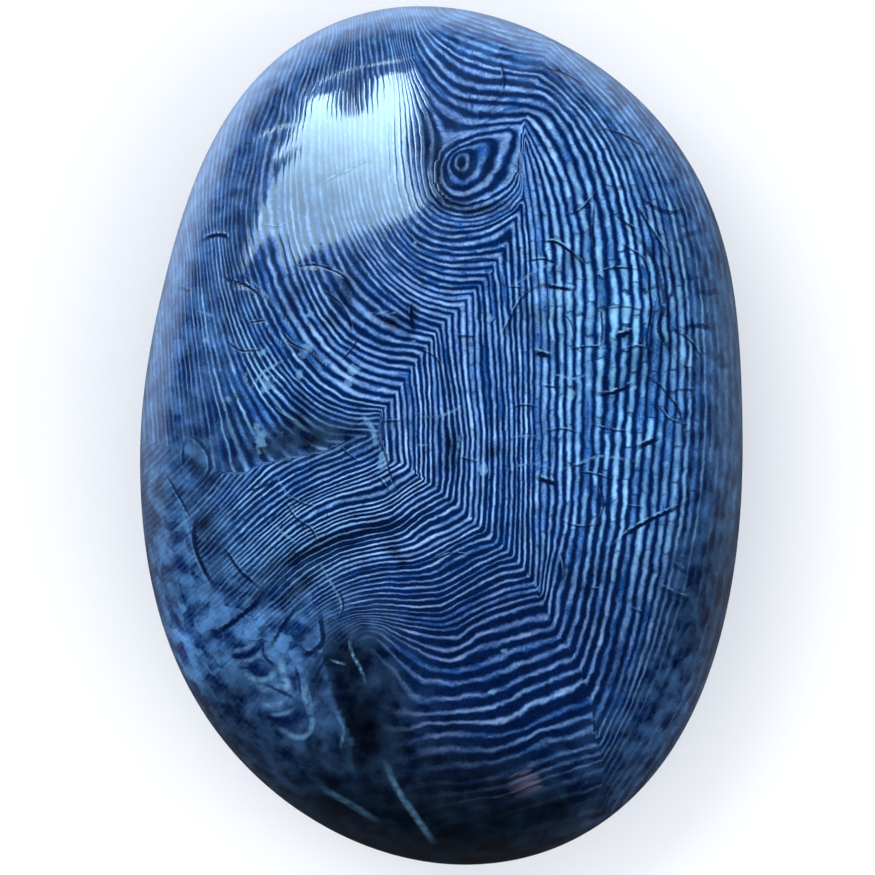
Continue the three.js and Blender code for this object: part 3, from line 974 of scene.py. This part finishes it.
# %% What comes out of a node
class Wire:
    """What comes out of one node. A sum of wires or numbers is a Math node, and is a wire again,
    and so are a difference, a product and the rest."""

    def __init__(self, wires, socket):
        self.wires, self.socket = wires, socket

    def __add__(self, other):
        return self.wires.maths("ADD", self, other)

    def __sub__(self, other):
        return self.wires.maths("SUBTRACT", self, other)

    def __rsub__(self, other):
        return self.wires.maths("SUBTRACT", other, self)

    def __mul__(self, other):
        return self.wires.maths("MULTIPLY", self, other)

    def __truediv__(self, other):
        return self.wires.maths("DIVIDE", self, other)

    def __abs__(self):
        return self.wires.maths("ABSOLUTE", self)

    def __round__(self):
        return self.wires.maths("ROUND", self)


# %% A helper that wires nodes
class Wires:
    """Fills one node tree. A socket is given a number, a colour or a wire."""

    def __init__(self, tree):
        self.tree = tree

    def join(self, socket, value):
        if isinstance(value, Wire):
            self.tree.links.new(value.socket, socket)
        else:
            socket.default_value = value

    def node(self, kind, sockets, **settings):
        node = self.tree.nodes.new(kind)
        for name, value in settings.items():
            setattr(node, name, value)
        for name, value in sockets.items():
            self.join(node.inputs[name], value)
        return node

    def add(self, kind, sockets, out=0, **settings):
        """Adds a node, and gives the wire of one of its outputs."""
        return Wire(self, self.node(kind, sockets, **settings).outputs[out])

    def parts(self, value, kind="ShaderNodeSeparateXYZ"):
        """The three parts of a vector or a colour."""
        return [Wire(self, socket) for socket in self.node(kind, {0: value}).outputs]

    def maths(self, operation, *values, clamp=False):
        sockets = dict(enumerate(values))
        return self.add("ShaderNodeMath", sockets, operation=operation, use_clamp=clamp)

    def dot(self, vector, way):
        """How far a vector reaches along a way, times the way's own length."""
        sockets = {0: vector, 1: way}
        return self.add("ShaderNodeVectorMath", sockets, "Value", operation="DOT_PRODUCT")

    def mix(self, share, first, second):
        return self.add("ShaderNodeMix", {0: share, 6: first, 7: second}, 2, data_type="RGBA")

    def ease(self, value, low, high, start=0.0, end=1.0):
        """Goes smoothly from start to end as value goes from low to high."""
        sockets = {"Value": value, "From Min": low, "From Max": high}
        sockets.update({"To Min": start, "To Max": end})
        return self.add("ShaderNodeMapRange", sockets, interpolation_type="SMOOTHSTEP")

    def level(self, name, out="Fac"):
        """One of the mesh's own attributes."""
        return self.add("ShaderNodeAttribute", {}, out, attribute_name=name)

    def noise(self, place, scale, detail=2.0, out="Fac"):
        sockets = {"Vector": place, "Scale": scale, "Detail": detail}
        return self.add("ShaderNodeTexNoise", sockets, out)

    def cells(self, sockets, edge=False, **settings):
        """A pattern of cells: how far a spot is from its cell's edge, or the cell's own colour."""
        feature, out = ("DISTANCE_TO_EDGE", "Distance") if edge else ("F1", "Color")
        return self.add("ShaderNodeTexVoronoi", sockets, out, feature=feature, **settings)


def new_finish(name, surface):
    """Puts a new material on a mesh, and gives its wires and its nodes."""
    material = bpy.data.materials.new(name)
    material.use_nodes = True
    surface.materials.append(material)
    return Wires(material.node_tree), material.node_tree.nodes


def blue(red, green, strong):
    """A colour given as the screen shows it, 0 to 255, turned into the light that it stands for."""
    share = np.array([red, green, strong]) / 255
    light = np.where(share <= 0.04045, share / 12.92, ((share + 0.055) / 1.055) ** 2.4)
    return (*light.tolist(), 1.0)


# %% Which band a spot is in, and how far across it
wires, stone_nodes = new_finish("agate_polished", mesh)
here = wires.level("slab", "Vector")
number, length = wires.level("band"), wires.level("along")
swing = (wires.noise(here, 0.55) - 0.5) * 0.6
shake = (wires.noise(here, 1.8) - 0.5) * 0.26
moved = number + (swing + shake)
own_name = round(moved)
across = abs(moved - own_name)
own = wires.add("ShaderNodeTexWhiteNoise", {"W": own_name}, "Color", noise_dimensions="1D")
own_blue, own_width, _ = wires.parts(own, "ShaderNodeSeparateColor")

# %% [markdown]
# Each band is cut into lengths, like bamboo, at places that differ from band to band. A length has
# a paleness of its own, and the place where two lengths meet is a hairline gap across the band.

# %% The lengths of a band
LENGTH = 34.0  # pixels
NAME_SHIFT = 17.37  # cells between a band's lengths and those of the band beside it
stops = length / LENGTH + own_name * NAME_SHIFT + wires.noise(here, 1.5) * 0.35
chain = {"W": stops, "Scale": 1.0}
piece = wires.cells(chain, voronoi_dimensions="1D")
piece_blue, piece_gap, _ = wires.parts(piece, "ShaderNodeSeparateColor")
break_share = wires.level("broken")
gap = wires.ease(wires.cells(chain, edge=True, voronoi_dimensions="1D"), 0.01, 0.075, 1.0, 0.0)
gap = gap * break_share * wires.ease(piece_gap, 0.0, 0.8)

# %% [markdown]
# Along a band the light comes and goes in streaks. These are a noise that is stretched along the
# band, because it reads how far along a spot is, and which band it is in.

# %% The light lines and the gaps between them
SOFTNESS = 0.13  # of a band's pitch, where a light line's side turns dark
streak_spot = wires.add("ShaderNodeCombineXYZ", {"X": length * 0.035, "Y": moved * 1.3})
streak = wires.noise(streak_spot, 1.0, 3.0) - 0.5
grain = wires.noise(here, 5.0, 3.0) - 0.5

half_width = wires.level("light_share") * (own_width * 0.28 + 0.30) + streak * 0.20
line = wires.ease(across, half_width - SOFTNESS, half_width + SOFTNESS, 1.0, 0.0)
line = line * (1.0 - gap * 0.9)
core = wires.ease(across, 0.0, half_width + 0.06, 1.0, 0.0)

pale = (own_blue - 0.5) * 0.5 + (piece_blue - 0.5) * (break_share * 0.8)
pale = wires.level("paleness") + pale + (streak * 1.8 + grain)
pale = wires.maths("MULTIPLY", pale, core, clamp=True)
palest = wires.mix(break_share, blue(164, 188, 242), blue(130, 196, 244))
light_line = wires.mix(pale, blue(26, 80, 154), palest)
dark_gap = wires.mix(wires.ease(grain, -0.38, 0.38), blue(0, 10, 46), blue(4, 40, 96))
banded = wires.mix(line, dark_gap, light_line)

# %% [markdown]
# In the clouded places the bands are lost, and shards with thin dark edges show in their stead.
# Both are patterns of cells and noise. The whole is then made lighter and darker by the tone,
# which holds the stone's own spots and painted shade.

# %% The clouded places, and the whole
bent_by = wires.noise(here, 0.9, 3.0, "Color")
bent = wires.add("ShaderNodeVectorMath", {0: here, 1: bent_by}, operation="ADD")
shards = {"Vector": bent, "Scale": 0.8}
shard_tone = wires.parts(wires.cells(shards), "ShaderNodeSeparateColor")[0]
shard_tone = (shard_tone - 0.5) * (break_share * 0.30)
cloud = wires.noise(here, 0.55, 4.0) + shard_tone + grain * 0.12
clouded = wires.mix(wires.ease(cloud, 0.32, 0.70), blue(2, 36, 90), blue(78, 128, 186))
shard_edge = wires.ease(wires.cells(shards, edge=True), 0.0, 0.10, 0.3, 0.0) * break_share
clouded = wires.mix(shard_edge, clouded, blue(2, 16, 52))
# The plain grey-blue is a painted veil of reflection, at the foot, under the window and along the
# right edge.
clouded = wires.mix(wires.level("plain"), clouded, blue(62, 88, 118))
stone_colour = wires.mix(wires.level("clear"), clouded, banded)
mottle = wires.ease(wires.noise(here, 0.8, 3.0), 0.32, 0.68, 0.76, 1.22)
toned = {0: stone_colour, "Scale": wires.level("tone_and_painted_shade") * mottle}
stone_colour = wires.add("ShaderNodeVectorMath", toned, operation="SCALE")

# %% [markdown]
# Last come the milky spots, the wisps and the cracks. A crack is dark where the distance to it is
# small, and a highlight is painted on its lip where the distance on the upper left is a little
# more.

# %% The milky spots and the wisps
milk_and_lip_highlight_blue = blue(122, 178, 224)
fleck = wires.noise(here, 1.6, 4.0) - 0.5
milky = wires.ease(wires.level("haze") + fleck * 1.1, 0.34, 0.62, 0.0, 0.45)
stone_colour = wires.mix(milky, stone_colour, milk_and_lip_highlight_blue)

ragged = (wires.noise(here, 4.0) - 0.5) * 1.8
wisp_away, wisp_strength, wisp_ragged = wires.parts(wires.level("wisp", "Vector"))
wisp_away = abs(wisp_away + ragged * wisp_ragged)
wisp_light = wires.ease(wisp_away, 0.0, 1.5, 1.0, 0.0) * wisp_strength
wisp_light = wisp_light * wires.ease(fleck, -0.20, 0.10, 0.35, 1.0)
stone_colour = wires.mix(wisp_light, stone_colour, milk_and_lip_highlight_blue)

# %% The cracks
LIP_AWAY = 1.5  # half widths from the crack's middle
crack_side, crack_depth, lip_highlight_strength = wires.parts(wires.level("crack", "Vector"))
crack_side = crack_side + ragged
# The lip is a painted highlight, in the same pale blue as the milky spots.
painted_lip_highlight = wires.ease(abs(crack_side - LIP_AWAY), 0.0, 0.7, 1.0, 0.0) * lip_highlight_strength
painted_lip_highlight = painted_lip_highlight * wires.ease(streak, -0.08, 0.10, 0.0, 1.1)
stone_colour = wires.mix(painted_lip_highlight, stone_colour, milk_and_lip_highlight_blue)
pit = wires.ease(abs(crack_side), 0.5, 1.5, 1.0, 0.0) * crack_depth
stone_colour = wires.mix(pit, stone_colour, blue(2, 18, 56))

# %% [markdown]
# The polish is nearly a mirror. It keeps a trace of the layers, because the harder ones stand
# 0.008 mm proud of the others, which only breaks the edges of what it mirrors.

# %% The polish
shader = stone_nodes["Principled BSDF"]
wires.join(shader.inputs["Base Color"], stone_colour)
shader.inputs["Roughness"].default_value = 0.07
shader.inputs["IOR"].default_value = 1.54

height = wires.ease(across, 0.15, 0.45, 1.0, 0.0) - pit * 2.0
relief = {"Strength": 0.6, "Distance": 0.008 * MM, "Height": height}
wires.join(shader.inputs["Normal"], wires.add("ShaderNodeBump", relief))
print("nodes in the stone's material:", len(stone_nodes))

# %% [markdown]
# ## The floor and the light
#
# The polish mirrors the floor in the stone's steep edge. A floor that is white to the horizon
# would give the edge a hard white rim, which the photograph doesn't have: its rim is pale blue at
# the upper left, where the window is, and grey at the lower right. So the floor has one colour for
# the camera and another for mirrored rays, as if black cloths lay on it beyond the picture and
# close to the stone's foot.

# %% The floor
FLOOR_HALF = 4.0


def flat_face(name, corners):
    """An object with one flat face through some corners, in metres."""
    face = bpy.data.meshes.new(name)
    face.from_pydata(corners, [], [list(range(len(corners)))])
    return placed(name, face)


floor = flat_face("floor", [
    (x * FLOOR_HALF, y * FLOOR_HALF, 0) for x, y in ((-1, -1), (1, -1), (1, 1), (-1, 1))
])
floor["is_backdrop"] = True
print("the floor is", 2 * FLOOR_HALF, "m wide")

# %% The floor's colour for the camera, and its glow for mirrored rays
ground, ground_nodes = new_finish("white_floor", floor.data)
floor_shader = ground_nodes["Principled BSDF"]
for socket, value in {
    "Base Color": blue(248, 249, 250), "Roughness": 1.0, "Specular IOR Level": 0.0,
    "Emission Color": blue(255, 255, 255), "Emission Strength": 0.06,
}.items():
    floor_shader.inputs[socket].default_value = value

# For mirrored rays the floor is a glow that paints the rim's reflection: pale blue on the window's
# side, dark grey on the other, strongest in a ring close around the stone, and dimmer below it and
# farther off.
spot = ground.add("ShaderNodeNewGeometry", {}, "Position")
window_side = ground.ease(ground.dot(spot, (-6.0, 12.0, 0.0)), 0.0, 0.8)
lit = ground.mix(window_side, blue(60, 62, 64), blue(184, 212, 250))
oval = ground.add("ShaderNodeVectorMath", {0: spot, 1: (1.4, 1.0, 0.0)}, operation="MULTIPLY")
reach = ground.add("ShaderNodeVectorMath", {0: oval}, "Value", operation="LENGTH")
fade = ground.ease(reach, 0.036, 0.056, 1.0, 3.0) * ground.ease(reach, 0.06, 0.17, 1.0, 0.06)
fade = fade * ground.ease(ground.dot(spot, (0.0, 1.0, 0.0)), -0.045, -0.015, 0.3, 1.0)
both = ground.add("ShaderNodeMixShader", {
    0: ground.add("ShaderNodeLightPath", {}, "Is Glossy Ray"),
    1: Wire(ground, floor_shader.outputs[0]),
    2: ground.add("ShaderNodeEmission", {"Color": lit, "Strength": fade}),
})
ground.join(ground_nodes["Material Output"].inputs["Surface"], both)
print("nodes in the floor's material:", len(ground_nodes))

# %% [markdown]
# The stone was photographed on white, by a window. The window is a glowing card. To place it, the
# camera's rays are sent to the outline of its reflection in the photograph and turned back by the
# stone's own skin, and where they then cross the card's plane is the outline of the card. The
# window's frame and a small glimmer near the foot are cards of the same kind.

# %% The outlines of the reflections, in pixels of the photograph
WINDOW_OUTLINE = [
    (242, 270), (250, 245), (257, 222), (266, 196), (280, 172), (292, 160), (300, 147), (290, 150),
    (276, 162), (272, 157), (288, 142), (303, 118), (308, 104), (320, 94), (331, 94), (337, 108),
    (346, 116), (358, 117), (366, 108), (374, 92), (378, 79), (392, 72), (406, 74), (411, 84),
    (413, 104), (408, 130), (404, 150), (408, 170), (416, 190), (427, 205), (413, 214), (398, 222),
    (370, 232), (345, 239), (322, 248), (303, 256), (294, 268), (286, 262), (279, 246), (272, 234),
    (263, 240), (254, 256),
]
WINDOW_FRAME = [
    [(304, 100), (312, 90), (322, 82), (334, 76), (350, 69)],
    [(368, 66), (384, 63), (402, 61)],
    [(248, 144), (262, 136), (275, 129), (290, 125), (304, 126)],
]
FRAME_HALF = 1.6
GLIMMER_OUTLINE = [
    (508, 787), (513, 778), (524, 772), (536, 773), (542, 781), (536, 790), (522, 796), (512, 794),
]

# %% From a reflection to its card
NEIGHBOURS = 6  # points of the mesh that a normal is taken from
LEAST_AWAY = 0.2  # pixels, so that no single point takes all the weight


def turned_back(pixels):
    """The camera's rays to some pixels, turned back by the skin: the ray less twice its part along
    the skin's normal. The normal is that of the nearest points of the mesh, weighed by nearness."""
    seen = photo_pixels(points)
    upper = np.flatnonzero(points[:, 2] > EDGE_HEIGHT)
    starts, ways = [], []
    for pixel in np.asarray(pixels, float):
        away = np.linalg.norm(seen[upper] - pixel, axis=1)
        near = np.argsort(away)[:NEIGHBOURS]
        weight = 1 / (away[near] + LEAST_AWAY)
        start = weight @ points[upper[near]] / weight.sum()
        normal = weight @ normals[upper[near]]
        normal /= np.linalg.norm(normal)
        ray = start - LENS_AT
        ray /= np.linalg.norm(ray)
        starts.append(start)
        ways.append(ray - 2 * (ray @ normal) * normal)
    return np.array(starts), np.array(ways)


# %% The glowing cards
CARD_DISTANCE = 900.0
GLARE_FROM, GLARE_TO = 0.2, 0.75  # the shares of a card's span between which its strength rises


def glowing_card(name, outline, colour, strength):
    """A card on which the outline's turned-back rays end. It faces the stone, CARD_DISTANCE from
    it. Its strength rises from the first number near its lower side to the second farther up."""
    starts, ways = turned_back(outline)
    facing = ways.mean(0) / np.linalg.norm(ways.mean(0))
    ends = starts + ways * ((CARD_DISTANCE - starts @ facing) / (ways @ facing))[:, None]
    card = flat_face(name, (ends * MM).tolist())
    tree, card_nodes = new_finish(name, card.data)
    height = tree.parts(tree.add("ShaderNodeNewGeometry", {}, "Position"))[1]
    low, span = ends[:, 1].min() * MM, np.ptp(ends[:, 1]) * MM
    glare = tree.ease(height, low + GLARE_FROM * span, low + GLARE_TO * span, *strength)
    light = tree.add("ShaderNodeEmission", {"Color": colour, "Strength": glare})
    tree.join(card_nodes["Material Output"].inputs["Surface"], light)
    card.visible_camera = False
    card.visible_diffuse = False
    card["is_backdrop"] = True
    print(name, "is", np.ptp(ends, axis=0).round(), "mm across")


DAYLIGHT = blue(192, 232, 255)
glowing_card("window", WINDOW_OUTLINE, DAYLIGHT, (7.8, 26.0))
for count, line in enumerate(WINDOW_FRAME):
    line = np.asarray(line, float)
    strip = np.concatenate([line - (0, FRAME_HALF), line[::-1] + (0, FRAME_HALF)])
    glowing_card(f"window_frame_{count}", strip, DAYLIGHT, (10.0, 10.0))
glowing_card("small_glimmer", GLIMMER_OUTLINE, blue(236, 216, 250), (0.5, 1.4))

# %% [markdown]
# The cards only make the reflections. The stone's own blue is lit by two broad, soft lamps and by
# a pale room. The polish doesn't mirror the lamps, and it mirrors a darker room, because one as
# pale as the floor would lay a veil over the whole stone.

# %% The soft light
def soft_light(name, place, size, power):
    """A square white lamp that points at the stone. It lights without being seen in the polish."""
    lamp = bpy.data.lights.new(name, "AREA")
    lamp.shape = "SQUARE"
    lamp.size = size
    lamp.energy = power
    holder = placed(name, lamp)
    holder.location = place
    holder.rotation_euler = (-Vector(place)).to_track_quat("-Z", "Y").to_euler()
    holder.visible_glossy = False
    holder.visible_camera = False


soft_light("key_lamp", (-0.55, 0.65, 1.2), 0.8, 8.5)
soft_light("fill_lamp", (0.7, -0.4, 1.3), 1.0, 2.0)

# %% The room
world = bpy.data.worlds.new("studio")
bpy.context.scene.world = world
world.use_nodes = True
air = Wires(world.node_tree)
sight = air.add("ShaderNodeTexCoord", {}, "Generated")
window_side = air.ease(air.dot(sight, (-0.55, 0.80, -0.25)), 0.0, 0.9)
mirrored_room = air.mix(window_side, blue(34, 38, 42), blue(120, 150, 200))
mirrored, seen = (
    air.add("ShaderNodeLightPath", {}, f"Is {kind} Ray") for kind in ("Glossy", "Camera")
)
room = air.mix(mirrored, blue(248, 250, 253), mirrored_room)
room = air.mix(seen, room, blue(236, 239, 242))
background = world.node_tree.nodes["Background"]
air.join(background.inputs["Color"], room)
background.inputs["Strength"].default_value = 1.06
bpy.context.scene.view_settings.view_transform = "Standard"
print("lamps:", len(bpy.data.lights))

# %% [markdown]
# ## The two boxes
#
# The two boxes are shown side by side: the part's, and the finished stone's.

# %% Finish
finished_box = [list(corner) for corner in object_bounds()]
{"cad": cad_box, "visual": finished_box}
print("the finished stone's box, in metres:", finished_box)
